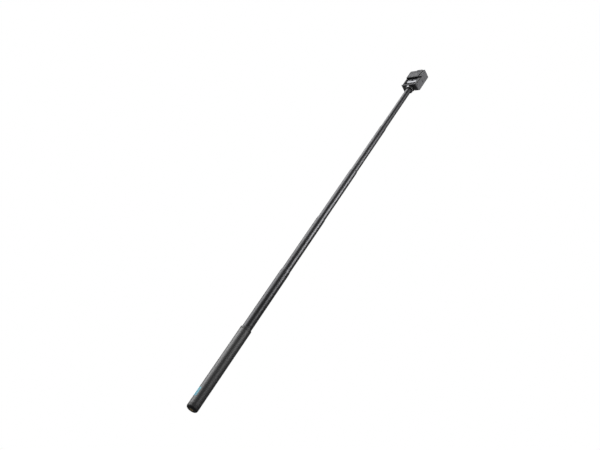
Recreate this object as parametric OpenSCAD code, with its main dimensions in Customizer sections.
// Telescopic selfie stick with a spring-loaded phone clamp on its top section.
// The origin is the mouth of the tripod thread, in the middle of the bottom face.
// +Z runs up the pole. The phone rests on the clamp's -Y side.

/* [Handle] */
// Length of the handle, from its bottom face to the top of the nose ring
handle_len = 230; // [180:5:300]
// Wall of the grip sleeve over the handle tube
grip_wall = 1.0; // [0.8:0.1:2]
// Height of the end cap that shows below the grip sleeve
cap_h = 10; // [8:0.5:16]
// Fillet round the foot of the end cap
cap_fillet = 5; // [2:0.5:6]
// How far the end cap's plug reaches up inside the handle tube, past its rim
cap_plug = 4; // [3:0.5:8]
// Height of the nose ring that closes the top of the grip sleeve
nose_h = 8; // [6:0.5:14]
// Bevel round the nose ring's top
nose_bevel = 1.2; // [0.4:0.1:1.6]

/* [Tripod socket] */
// Bore of the tripod insert, the minor diameter of a 1/4 inch thread
thread_bore_d = 5.2; // [5:0.05:5.4]
// Depth of the threaded bore
thread_depth = 9; // [6:0.5:9]
// Outside diameter of the insert
insert_d = 9; // [8:0.25:12]
// Closed end of the insert, above the bore
insert_end = 1; // [0.8:0.1:3]

/* [Accent inlay] */
// Height of the inlay's middle on the handle
badge_z = 40; // [30:1:120]
// Length of the inlay along the handle
badge_len = 23; // [10:1:60]
// Width of the inlay across the handle
badge_w = 13; // [6:0.5:16]
// Direction that the inlay faces, in degrees from +X
badge_angle = 253; // [0:1:359]
// Depth of the pocket that the inlay sits in
badge_depth = 0.5; // [0.3:0.1:0.7]

/* [Telescopic tubes] */
// Outside diameter of the thinnest tube, which carries the clamp
top_tube_d = 16; // [14:0.5:22]
// Wall of every tube
tube_wall = 0.5; // [0.4:0.1:1]
// Radial gap between one tube and the next
tube_gap = 0.5; // [0.4:0.1:1]
// Length of each tube that stays inside the one below at full length
tube_overlap = 33; // [28:1:60]
// Length of each tube that still shows when it is pushed home
tube_peek = 4; // [3:0.5:8]
// How much shorter the top tube is than the others
top_trim = 11.5; // [0:0.5:20]
// Length of the drawn-in lip at each tube's mouth
lip_len = 6; // [3:0.5:10]
// Height of the guide bush on each tube's foot
bush_h = 12; // [8:0.5:16]
// Thickness of the rim that each guide bush has under its tube
bush_rim = 1; // [0.6:0.1:2]

/* [Neck] */
// Outside diameter of the neck collar
collar_d = 22.8; // [20:0.2:26]
// Height of the neck collar
collar_h = 7.2; // [6.4:0.2:14]
// Depth of the collar's socket over the top tube
socket_depth = 3; // [2:0.5:5]
// Diameter of the swivel stem
stem_d = 10; // [7:0.5:11]
// Length of the collar's inner spigot inside the top tube
spigot_len = 17; // [10:1:30]
// Thickness of the swivel disc on the collar
disc_h = 0.9; // [0.6:0.1:2]
// Width of the tilting knuckle
knuckle_w = 19.6; // [12:0.2:21]
// Radius of the knuckle round the tilt pin
knuckle_r = 6.5; // [5:0.25:7]
// Diameter of the tilt pin
pin_d = 4; // [3:0.25:5]

/* [Clamp] */
// Width of the clamp
clamp_w = 52; // [44:1:64]
// Depth of the clamp, from its back to the front of its jaws
clamp_d = 26.5; // [25:0.5:36]
// Height of the closed clamp
clamp_h = 69; // [64:1:90]
// Radius of the clamp's corners, seen from the front
clamp_corner = 6; // [3:0.5:8]
// Radius of the one tighter corner, at the top on the thumb tab's side
tight_corner = 3; // [1:0.5:6]
// Rounding of the clamp's lower back edge, which lets it tilt past the neck
heel_r = 9; // [4:0.5:10]
// Rounding of the clamp's upright edges
clamp_edge = 2; // [1:0.25:3]
// Thickness of the housing's side walls
side_wall = 5; // [4.5:0.5:8]
// Width of the housing's front to the right of its window
rail_w = 11.5; // [8:0.5:14]
// Thickness of the back cover
cover_t = 3; // [2:0.25:5]
// How far the jaws stand out from the face that the phone rests on
jaw_reach = 4; // [3:0.5:8]
// Height of the fixed lower lip
lower_lip_h = 4; // [3:0.5:8]
// Height of the sliding jaw, with its cap
jaw_h = 30; // [24:1:40]
// Thickness of the jaw's cap, over the housing's top
jaw_cap_t = 3.2; // [2.5:0.1:5]
// Travel of the sliding jaw
jaw_travel = 48; // [30:1:49]
// Thickness of the rubber pads on the jaws
pad_t = 1.2; // [0.8:0.1:3]
// Thickness of the rubber strips that the phone's back rests on
strip_t = 0.8; // [0.4:0.1:1.5]
// Thickness of the polished slide plate
plate_t = 1.5; // [1:0.1:2.5]
// Length of the slide plate that shows below the jaw
plate_drop = 18; // [8:0.5:24]
// Diameter of the guide rods
rod_d = 3; // [2:0.25:4]
// Outside diameter of the jaw springs
spring_d = 5; // [4:0.25:6]
// Wire of the jaw springs
spring_wire = 0.7; // [0.5:0.05:1]
// Height of the tilt pin above the clamp's underside
pivot_up = 8.5; // [8:0.25:10]
// How far the tilt pin sits behind the pole's axis
pivot_back = 3.2; // [2:0.1:3.6]

/* [Hidden] */
$fn = 96;

// Clearances
fit_run = 0.05;       // running fit, on the radius
gap_move = 0.3;       // between faces that move past each other
seam = 0.25;          // open seam round an inset cover
eps = 0.01;           // how far a cut passes the face that it opens

// Colours
anodised = [0.16, 0.16, 0.17];
grip_black = [0.19, 0.19, 0.20];
moulded = [0.40, 0.40, 0.41];
dark_moulded = [0.10, 0.10, 0.11];
rubber = [0.08, 0.08, 0.08];
steel = [0.80, 0.81, 0.83];
brass_gold = [0.80, 0.68, 0.38];
acetal = [0.86, 0.86, 0.84];
cyan_accent = [0.37, 0.74, 0.82];

// Telescopic pole
sections = 5;
cap_skirt_z = cap_h + cap_plug;
foot_gap = 2;                                  // under the first tube when it is pushed home
tube_len = handle_len + tube_peek - cap_skirt_z - foot_gap;
tube_step = tube_len - tube_overlap;
pole_top = handle_len + sections * tube_step - top_trim;
liner_stop = 0.2;                              // between a bush and the liner that stops it
liner_h = tube_overlap - lip_len - bush_h - liner_stop;
lip_taper = 0.4;                               // how far the lip's outside draws in
tube_pitch_r = tube_wall + tube_gap;

function tube_r(k) = top_tube_d / 2 + tube_pitch_r * (sections - k);
function tube_bore_r(k) = tube_r(k) - tube_wall;
function tube_top(k) = handle_len + tube_step * k;
function tube_foot(k) = tube_top(k) - tube_len;

// Handle
grip_r = tube_r(0) + grip_wall;
sleeve_top = handle_len - nose_h;
nose_seat = 3;                                 // nose ring above the handle tube's end
tube0_top = handle_len - nose_seat;

// Neck
collar_z = pole_top - socket_depth;
collar_top = collar_z + collar_h;
collar_r = collar_d / 2;
disc_z = collar_top + gap_move;
clamp_z = disc_z + disc_h + gap_move;
pivot_z = clamp_z + pivot_up;
spigot_z = pole_top - spigot_len;
clip_h = 1.2;
clip_play = 0.2;                               // of the stem, up and down
clip_z = spigot_z - clip_h - clip_play;
clip_r = stem_d / 2 + 1.4;
groove_r = stem_d / 2 - 1;
stem_z = clip_z - 2.4;
disc_r = collar_r - 0.2;
screw_r = 1.5;
screw_head_r = 2.2;
screw_head_t = 1.2;
screw_z = collar_top - screw_head_r - 0.4;

// Clamp
front_y = -clamp_d / 2;
back_y = clamp_d / 2;
rest_y = front_y + jaw_reach;
cover_y = back_y - cover_t;
jaw_z = clamp_z + clamp_h - jaw_h;
clamp_top = clamp_z + clamp_h;
body_top = clamp_top - jaw_cap_t - gap_move;
window_w = clamp_w - side_wall - rail_w;
window_x = (side_wall - rail_w) / 2;           // middle of the window
tongue_d = 2.75;                               // jaw behind the rest face
plate_y = rest_y + tongue_d;
chamber_w = clamp_w - 2 * side_wall - 0.4;     // chamber behind the web
web_y = plate_y + plate_t + gap_move + 0.1;
web_t = 1.4;
slot_w = 2 * collar_r + 1;
slot_y = pivot_back - knuckle_r - gap_move;
slot_h = pivot_up + knuckle_r + 2.5;
floor_h = slot_h + 1.7;
guide_h = 9.5;
rod_x = slot_w / 2 + rod_d / 2 + 3.6;
rod_y = pivot_back + pin_d / 2 + rod_d / 2 + 0.9;
rod_r = rod_d / 2;
rod_spare = 1;                                 // rods below the guide block, jaw fully open
rod_foot = max(2, body_top - clamp_z - guide_h - rod_spare - jaw_travel);
rod_seat = 2;                                  // rods inside the jaw's cap
spring_x = 8;
spring_y = pivot_back + 2.3;
spring_r = spring_d / 2;
spring_foot = clamp_z + floor_h;
spring_top = clamp_top - jaw_cap_t;
pin_half = slot_w / 2 + 3;
washer_r = 5.5;
pad_w = clamp_w - 6;
pad_setback = 0.4;                             // pads behind the jaws' fronts
strip_gap = 1;                                 // between a strip's end and the pad beside it
cover_screw_x = clamp_w / 2 - 2.6;
cover_screw_z = [heel_r + 3, clamp_h - 10];
cover_screw_r = 1.1;
cover_screw_len = 6;                           // shank inside the housing
cover_head_r = 1.9;
cover_head_t = 1.2;
jaw_inset = 1.2;                               // thickness of the jaw's inset cover
groove_foot_x = clamp_w / 2 - 10.5;            // middle of the jaw's groove, at its foot
groove_head_x = clamp_w / 2 - 6;               // and at its head
groove_foot_w = 4;
groove_head_w = 3;
thumb_zone = 7.5;                              // jaw's front above its inset cover
tab_x = -6;                                    // thumb tab's left end
tab_w = 22;
tab_h = 5;
plate_screw_x = 9;
plate_screw_r = 1;
plate_screw_len = 4;                           // shank inside the jaw's tongue

// ---- shared shapes ----

// A rectangle with round corners, centred, as a flat outline.
module round_rect(w, h, r) {
    square([w - 2 * r, h], center = true);
    square([w, h - 2 * r], center = true);
    for (sx = [-1, 1], sy = [-1, 1])
        translate([sx * (w / 2 - r), sy * (h / 2 - r)])
            circle(r = r);
}

// A block from (x, y, z) with its sizes, given by its low corner.
module block(x, y, z, w, d, h) {
    translate([x, y, z])
        cube([w, d, h]);
}

// A plate in the X-Z plane with round corners, its low Z and low Y given.
module upright_plate(w, h, r, y, d, z) {
    translate([0, y + d, z + h / 2])
        rotate([90, 0, 0])
            linear_extrude(height = d)
                round_rect(w, h, r);
}

// The clamp's outline from the front, centred: one corner is tighter than the others.
module clamp_front() {
    round_rect(clamp_w, clamp_h, clamp_corner);
    translate([(clamp_w - 2 * clamp_corner) / 2, (clamp_h - 2 * clamp_corner) / 2])
        round_rect(2 * clamp_corner, 2 * clamp_corner, tight_corner);
}

// The clamp's outline from the side, with the rounded heel at its back.
module clamp_side() {
    translate([front_y, clamp_z + heel_r])
        square([clamp_d, clamp_h - heel_r]);
    translate([front_y, clamp_z])
        square([clamp_d - heel_r, clamp_h]);
    translate([back_y - heel_r, clamp_z + heel_r])
        circle(r = heel_r);
}

// The clamp's outer envelope, with rounded upright edges.
module clamp_envelope() {
    intersection() {
        translate([0, back_y, clamp_z + clamp_h / 2])
            rotate([90, 0, 0])
                linear_extrude(height = clamp_d)
                    clamp_front();
        translate([-clamp_w / 2, 0, 0])
            rotate([90, 0, 90])
                linear_extrude(height = clamp_w)
                    clamp_side();
        translate([0, 0, clamp_z])
            linear_extrude(height = clamp_h)
                round_rect(clamp_w, clamp_d, clamp_edge);
    }
}

module ring(r_out, r_in, z, h) {
    translate([0, 0, z])
        difference() {
            cylinder(r = r_out, h = h);
            translate([0, 0, -eps])
                cylinder(r = r_in, h = h + 2 * eps);
        }
}

// A pin or bore along X, centred on the pole's plane.
module along_x(r, half, y, z) {
    translate([-half, y, z])
        rotate([0, 90, 0])
            cylinder(r = r, h = 2 * half);
}

// ---- handle ----

// Moulded cap: filleted foot, plug inside the handle tube, seat for the insert.
module end_cap() {
    color(dark_moulded)
        difference() {
            union() {
                rotate_extrude()
                    intersection() {
                        union() {
                            translate([0, cap_fillet])
                                square([grip_r, cap_h - cap_fillet]);
                            square([grip_r - cap_fillet, cap_h]);
                            translate([grip_r - cap_fillet, cap_fillet])
                                circle(r = cap_fillet);
                        }
                        square([grip_r, cap_h]);
                    }
                cylinder(r = tube_bore_r(0), h = cap_skirt_z);
            }
            translate([0, 0, -eps])
                cylinder(d = insert_d, h = cap_skirt_z + 2 * eps);
        }
}

// Metal insert with the tripod thread's bore, closed at its upper end.
module tripod_insert() {
    color(brass_gold)
        difference() {
            cylinder(d = insert_d, h = thread_depth + insert_end);
            translate([0, 0, -eps])
                cylinder(d = thread_bore_d, h = thread_depth + eps);
        }
}

module handle_tube() {
    color(anodised)
        ring(tube_r(0), tube_bore_r(0), cap_h, tube0_top - cap_h);
}

// The inlay's pocket or body, between two radii.
module badge_shape(r_in, r_out, w, h) {
    intersection() {
        ring(r_out, r_in, badge_z - h, 2 * h);
        rotate([0, 0, badge_angle])
            translate([0, 0, badge_z])
                rotate([90, 0, 90])
                    linear_extrude(height = r_out + 1)
                        round_rect(w, h, w / 6);
    }
}

// Grip sleeve with a shallow pocket for the inlay.
module grip_sleeve() {
    color(grip_black)
        difference() {
            ring(grip_r, tube_r(0), cap_h, sleeve_top - cap_h);
            badge_shape(grip_r - badge_depth, grip_r + 1, badge_w, badge_len);
        }
}

// Nose ring: sleeves the handle tube's end and guides the first tube.
module nose_ring() {
    color(dark_moulded)
        difference() {
            rotate_extrude()
                polygon([
                    [0, sleeve_top],
                    [grip_r, sleeve_top],
                    [grip_r, handle_len - nose_bevel],
                    [grip_r - nose_bevel, handle_len],
                    [0, handle_len]
                ]);
            translate([0, 0, sleeve_top - eps])
                cylinder(r = tube_r(0), h = nose_h - nose_seat + eps);
            translate([0, 0, sleeve_top])
                cylinder(r = tube_r(1) + fit_run, h = nose_h + eps);
        }
}

module accent_inlay() {
    color(cyan_accent)
        badge_shape(grip_r - badge_depth, grip_r, badge_w, badge_len);
}

// ---- telescopic pole ----

// Tube k: a plain wall whose mouth draws in to guide the next tube.
module pole_tube(k) {
    z0 = tube_foot(k);
    z1 = tube_top(k);
    r = tube_r(k);
    bore = tube_bore_r(k);
    mouth = tube_r(k + 1) + fit_run;
    color(anodised)
        rotate_extrude()
            polygon([
                [bore, z0],
                [r, z0],
                [r, z1 - lip_len],
                [r - lip_taper, z1],
                [mouth, z1],
                [mouth, z1 - lip_len / 2],
                [bore, z1 - lip_len]
            ]);
}

// The top tube has a plain end, because the neck collar goes over it.
module top_tube() {
    color(anodised)
        ring(tube_r(sections), tube_bore_r(sections), tube_foot(sections), tube_len - top_trim);
}

// Guide bush round the foot of tube k, running in the tube below.
module guide_bush(k) {
    z0 = tube_foot(k);
    color(acetal)
        rotate_extrude()
            polygon([
                [tube_bore_r(k), z0 - bush_rim],
                [tube_bore_r(k - 1) - fit_run, z0 - bush_rim],
                [tube_bore_r(k - 1) - fit_run, z0 + bush_h],
                [tube_r(k), z0 + bush_h],
                [tube_r(k), z0],
                [tube_bore_r(k), z0]
            ]);
}

// Liner in the mouth of tube k: guides the next tube and stops its bush.
module mouth_liner(k) {
    top = k == 0 ? handle_len - lip_len : tube_top(k) - lip_len;
    color(acetal)
        ring(tube_bore_r(k), tube_r(k + 1) + fit_run, top - liner_h, liner_h);
}

// ---- neck ----

// Collar on the top tube: a socket over the tube and a bored spigot inside it.
module neck_collar() {
    bevel = 0.5;
    r_socket = tube_r(sections);
    r_spigot = tube_bore_r(sections);
    color(dark_moulded)
        difference() {
            rotate_extrude()
                polygon([
                    [stem_d / 2 + fit_run, spigot_z],
                    [r_spigot, spigot_z],
                    [r_spigot, pole_top],
                    [r_socket, pole_top],
                    [r_socket, collar_z],
                    [collar_r - bevel, collar_z],
                    [collar_r, collar_z + bevel],
                    [collar_r, collar_top - bevel],
                    [collar_r - bevel, collar_top],
                    [stem_d / 2 + fit_run, collar_top]
                ]);
            swivel_screw_shape();
        }
}

// Screw that sets the swivel's drag, from the front of the collar.
module swivel_screw_shape() {
    tip = -(stem_d / 2 + gap_move);
    proud = 0.2;
    translate([0, tip, screw_z])
        rotate([90, 0, 0])
            cylinder(r = screw_r, h = collar_r + tip - screw_head_t / 2);
    translate([0, -collar_r + screw_head_t, screw_z])
        rotate([90, 0, 0])
            cylinder(r = screw_head_r, h = screw_head_t + proud);
}

module swivel_screw() {
    hex_r = 1;
    hex_floor = 0.3;
    color(steel)
        difference() {
            swivel_screw_shape();
            translate([0, -collar_r + hex_floor, screw_z])
                rotate([90, 0, 0])
                    cylinder(r = hex_r, h = screw_head_t, $fn = 6);
        }
}

// Knuckle: swivel stem, disc on the collar, and the barrel round the tilt pin.
module neck_knuckle() {
    color(dark_moulded)
        difference() {
            union() {
                translate([0, 0, stem_z])
                    cylinder(d = stem_d, h = disc_z - stem_z + eps);
                translate([0, 0, disc_z])
                    cylinder(r = disc_r, h = disc_h);
                block(-knuckle_w / 2, pivot_back - knuckle_r, disc_z + disc_h / 2,
                      knuckle_w, 2 * knuckle_r, pivot_z - disc_z - disc_h / 2);
                along_x(knuckle_r, knuckle_w / 2, pivot_back, pivot_z);
            }
            along_x(pin_d / 2 + fit_run, knuckle_w, pivot_back, pivot_z);
            ring(stem_d, groove_r, clip_z, clip_h);
        }
}

// Retaining clip in the stem's groove, under the collar's spigot.
module stem_clip() {
    gap = 3;
    color(steel)
        difference() {
            ring(clip_r, groove_r, clip_z, clip_h);
            block(0, -gap / 2, clip_z - clip_h, stem_d, gap, 3 * clip_h);
        }
}

// ---- clamp housing ----

module cover_screw_places() {
    for (sx = [-1, 1], dz = cover_screw_z)
        translate([sx * cover_screw_x, 0, clamp_z + dz])
            children();
}

// The neck's way through the underside and the back, for the tilt.
module neck_slot() {
    block(-slot_w / 2, slot_y, clamp_z - eps, slot_w, clamp_d, slot_h + eps);
}

// Recessed slot in each side face.
module side_slots() {
    slot_len = 9.5;
    slot_t = 3;
    slot_depth = 1.5;
    slot_mid_y = 1.2;
    for (sx = [-1, 1])
        translate([sx * clamp_w / 2, slot_mid_y, clamp_z + 0.48 * clamp_h])
            rotate([0, 90, 0])
                linear_extrude(height = 2 * slot_depth, center = true)
                    round_rect(slot_t, slot_len, slot_t / 2 - eps);
}

module clamp_housing() {
    color(moulded)
        difference() {
            clamp_envelope();
            // everything above the housing's top, and behind the cover's seat
            block(-clamp_w, -clamp_d, body_top, 2 * clamp_w, 2 * clamp_d, clamp_h);
            block(-clamp_w, cover_y, clamp_z - 1, 2 * clamp_w, clamp_d, clamp_h);
            // the face that the phone rests on, behind the lower lip
            block(-clamp_w, front_y - 1, clamp_z + lower_lip_h, 2 * clamp_w, jaw_reach + 1, clamp_h);
            // the window, open at the top for the jaw's tongue
            block(window_x - window_w / 2, front_y - 1, clamp_z + lower_lip_h + pad_t,
                  window_w, web_y - front_y + 1, clamp_h);
            // the chamber behind the web
            block(-chamber_w / 2, web_y + web_t, clamp_z + floor_h, chamber_w, clamp_d, clamp_h);
            neck_slot();
            along_x(pin_d / 2, pin_half, pivot_back, pivot_z);
            for (sx = [-1, 1])
                translate([sx * rod_x, rod_y, clamp_z + rod_foot - gap_move])
                    cylinder(r = rod_r + gap_move, h = clamp_h);
            cover_screw_places()
                translate([0, cover_y - cover_screw_len - 1, 0])
                    rotate([-90, 0, 0])
                        cylinder(r = cover_screw_r, h = cover_screw_len + 2);
            side_slots();
        }
}

module back_cover() {
    color(moulded)
        difference() {
            intersection() {
                clamp_envelope();
                block(-clamp_w, cover_y, clamp_z - 1, 2 * clamp_w, clamp_d, body_top - clamp_z + 1);
            }
            neck_slot();
            cover_screws_shape();
        }
}

module cover_screws_shape() {
    cover_screw_places() {
        translate([0, cover_y - cover_screw_len, 0])
            rotate([-90, 0, 0])
                cylinder(r = cover_screw_r, h = cover_screw_len + cover_t - cover_head_t / 2);
        translate([0, back_y - cover_head_t, 0])
            rotate([-90, 0, 0])
                cylinder(r = cover_head_r, h = cover_head_t);
    }
}

module cover_screws() {
    cross_half = 1.2;
    cross_t = 0.4;
    cross_depth = 0.7;
    color(steel)
        difference() {
            cover_screws_shape();
            cover_screw_places()
                translate([0, back_y - cross_depth, 0]) {
                    block(-cross_half, 0, -cross_t / 2, 2 * cross_half, 1, cross_t);
                    block(-cross_t / 2, 0, -cross_half, cross_t, 1, 2 * cross_half);
                }
        }
}

// Bored block in the housing's top that guides the rods.
module guide_block() {
    z0 = body_top - guide_h;
    color(acetal)
        difference() {
            block(-chamber_w / 2, web_y + web_t, z0, chamber_w, cover_y - web_y - web_t, guide_h);
            for (sx = [-1, 1]) {
                translate([sx * rod_x, rod_y, z0 - 1])
                    cylinder(r = rod_r + fit_run, h = guide_h + 2);
                translate([sx * spring_x, spring_y, z0 - 1])
                    cylinder(r = spring_r + gap_move, h = guide_h + 2);
            }
        }
}

module tilt_pin() {
    color(steel)
        along_x(pin_d / 2, pin_half, pivot_back, pivot_z);
}

// Friction washers between the knuckle and the slot's walls.
module friction_washers() {
    gap = 0.1;
    t = (slot_w - knuckle_w) / 2 - gap;
    color(rubber)
        for (sx = [-1, 1])
            difference() {
                translate([sx * (slot_w / 2 - t / 2), 0, 0])
                    along_x(washer_r, t / 2, pivot_back, pivot_z);
                along_x(pin_d / 2, clamp_w, pivot_back, pivot_z);
            }
}

// Pad on the lower lip, up to the front of the rest strips.
module lower_pad() {
    color(rubber)
        block(-pad_w / 2, front_y + pad_setback, clamp_z + lower_lip_h,
              pad_w, jaw_reach - strip_t - pad_setback, pad_t);
}

// Rubber strips on the rest face, one along each side of the housing.
module rest_strips() {
    z0 = clamp_z + lower_lip_h + pad_t + strip_gap;
    h = jaw_z - pad_t - strip_gap - z0;
    w = side_wall - 1.2;
    inboard = 0.2;
    color(rubber)
        for (sx = [-1, 1])
            translate([sx * (clamp_w / 2 - side_wall / 2 - inboard), rest_y, z0 + h / 2])
                rotate([90, 0, 0])
                    linear_extrude(height = strip_t)
                        round_rect(w, h, w / 3);
}

// Extension spring from the housing's floor to the jaw's cap.
module jaw_spring(side) {
    pitch = 2 * spring_wire;
    play = 0.1;
    length = spring_top - spring_foot - play;
    coils = floor(length / pitch);
    wall = 0.3;
    wire_r = spring_wire / 2;
    color(steel)
        translate([side * spring_x, spring_y, spring_foot])
            rotate_extrude($fn = 48) {
                translate([spring_r - wire_r - wall / 2, 0])
                    square([wall, length]);
                for (i = [0 : coils - 1])
                    translate([spring_r - wire_r, (i + 0.5) * length / coils])
                        circle(r = wire_r, $fn = 16);
            }
}

module jaw_spring_left() {
    jaw_spring(-1);
}

module jaw_spring_right() {
    jaw_spring(1);
}

// ---- sliding jaw ----

// Puts an outline on the jaw's front as a body of a depth, from the jaw's lower left corner.
module on_jaw_front(depth) {
    translate([-clamp_w / 2, front_y + depth, jaw_z])
        rotate([90, 0, 0])
            linear_extrude(height = depth + eps)
                children();
}

// Outline of the inset cover, between the jaw's left edge and the groove.
module jaw_cover_outline(inset) {
    margin = 3;
    corner = 3;
    w = groove_foot_x - groove_foot_w / 2 + clamp_w / 2 - 2 * margin;
    h = jaw_h - thumb_zone - 2 * margin;
    translate([margin + w / 2, margin + h / 2])
        round_rect(w - 2 * inset, h - 2 * inset, corner);
}

// Leaning groove in the jaw's face, open at its foot and narrower at its head.
module jaw_groove() {
    depth = 2.5;
    head = jaw_h - 3;
    left = clamp_w / 2;
    on_jaw_front(depth)
        polygon([
            [left + groove_foot_x - groove_foot_w / 2, -eps],
            [left + groove_foot_x + groove_foot_w / 2, -eps],
            [left + groove_head_x + groove_head_w / 2, head],
            [left + groove_head_x - groove_head_w / 2, head]
        ]);
}

// Shallow recess for the thumb, below the tab.
module thumb_recess() {
    recess_w = 10;
    recess_h = 4.5;
    recess_depth = 0.9;
    on_jaw_front(recess_depth)
        translate([tab_x + tab_w / 2 + clamp_w / 2, jaw_h - thumb_zone + recess_h / 2 + 0.5])
            round_rect(recess_w, recess_h, recess_h / 2 - eps);
}

// Jaw: front block over the rest face, tongue in the window, cap over the housing.
module jaw_block() {
    tongue_w = window_w - 2 * gap_move;
    lap = 1;
    tab_d = 6;
    tab_corner = 4.5;
    color(moulded)
        difference() {
            union() {
                difference() {
                    clamp_envelope();
                    block(-clamp_w, -clamp_d, clamp_z - 1, 2 * clamp_w, 2 * clamp_d, clamp_h - jaw_h + 1);
                    block(-clamp_w, rest_y - gap_move, clamp_z, 2 * clamp_w, clamp_d,
                          clamp_h - jaw_cap_t);
                }
                block(window_x - tongue_w / 2, front_y + lap, jaw_z,
                      tongue_w, plate_y - front_y - lap, jaw_h - lap);
                // thumb tab
                translate([tab_x + tab_w / 2, front_y + lap + tab_d, clamp_top])
                    rotate([90, 0, 0])
                        linear_extrude(height = tab_d)
                            intersection() {
                                round_rect(tab_w, 2 * tab_h, tab_corner);
                                translate([-tab_w, -lap])
                                    square([2 * tab_w, tab_h + lap]);
                            }
            }
            on_jaw_front(jaw_inset)
                jaw_cover_outline(0);
            jaw_groove();
            thumb_recess();
            for (sx = [-1, 1])
                translate([sx * rod_x, rod_y, clamp_top - jaw_cap_t - eps])
                    cylinder(r = rod_r, h = rod_seat + eps);
            plate_screws_shape();
        }
}

// Inset cover on the jaw, with an open seam all round.
module jaw_cover() {
    color(moulded)
        on_jaw_front(jaw_inset)
            jaw_cover_outline(seam);
}

module upper_pad() {
    color(rubber)
        block(-pad_w / 2, front_y + pad_setback, jaw_z - pad_t,
              pad_w, jaw_reach - 2 * gap_move - pad_setback, pad_t);
}

// Polished plate behind the jaw's tongue. It shows through the window.
module slide_plate() {
    foot = jaw_z - plate_drop;
    h = clamp_top - 5 - foot;
    w = window_w - 3;
    corner = 2.5;
    slot_up = 10;
    slot_len = 9;
    slot_t = 4.5;
    color(steel)
        difference() {
            translate([window_x, 0, 0])
                upright_plate(w, h, corner, plate_y, plate_t, foot);
            translate([window_x, plate_y - 1, foot + slot_up])
                rotate([-90, 0, 0])
                    linear_extrude(height = plate_t + 2)
                        round_rect(slot_len, slot_t, slot_t / 2 - 0.1);
            plate_screws_shape();
        }
}

// Countersunk screws through the slide plate, into the jaw's tongue.
module plate_screws_shape() {
    for (sx = [-1, 1])
        translate([window_x + sx * plate_screw_x, plate_y + plate_t, jaw_z + jaw_h / 2])
            rotate([90, 0, 0]) {
                cylinder(r1 = 2 * plate_screw_r, r2 = plate_screw_r, h = plate_screw_r);
                cylinder(r = plate_screw_r, h = plate_t + plate_screw_len);
            }
}

module plate_screws() {
    color(steel)
        plate_screws_shape();
}

// Guide rods, pressed into the jaw's cap and sliding in the guide block.
module guide_rods() {
    z0 = clamp_z + rod_foot;
    h = clamp_top - jaw_cap_t + rod_seat - z0;
    color(steel)
        for (sx = [-1, 1])
            translate([sx * rod_x, rod_y, z0])
                cylinder(r = rod_r, h = h);
}

end_cap();
tripod_insert();
handle_tube();
grip_sleeve();
nose_ring();
accent_inlay();
pole_tube(1);  // tube_1
pole_tube(2);  // tube_2
pole_tube(3);  // tube_3
pole_tube(4);  // tube_4
top_tube();  // tube_5
guide_bush(1);  // guide_bush_1
guide_bush(2);  // guide_bush_2
guide_bush(3);  // guide_bush_3
guide_bush(4);  // guide_bush_4
guide_bush(5);  // guide_bush_5
mouth_liner(0);  // mouth_liner_0
mouth_liner(1);  // mouth_liner_1
mouth_liner(2);  // mouth_liner_2
mouth_liner(3);  // mouth_liner_3
mouth_liner(4);  // mouth_liner_4
neck_collar();
swivel_screw();
neck_knuckle();
stem_clip();
clamp_housing();
back_cover();
cover_screws();
guide_block();
tilt_pin();
friction_washers();
lower_pad();
rest_strips();
jaw_spring_left();
jaw_spring_right();
jaw_block();
jaw_cover();
upper_pad();
slide_plate();
plate_screws();
guide_rods();
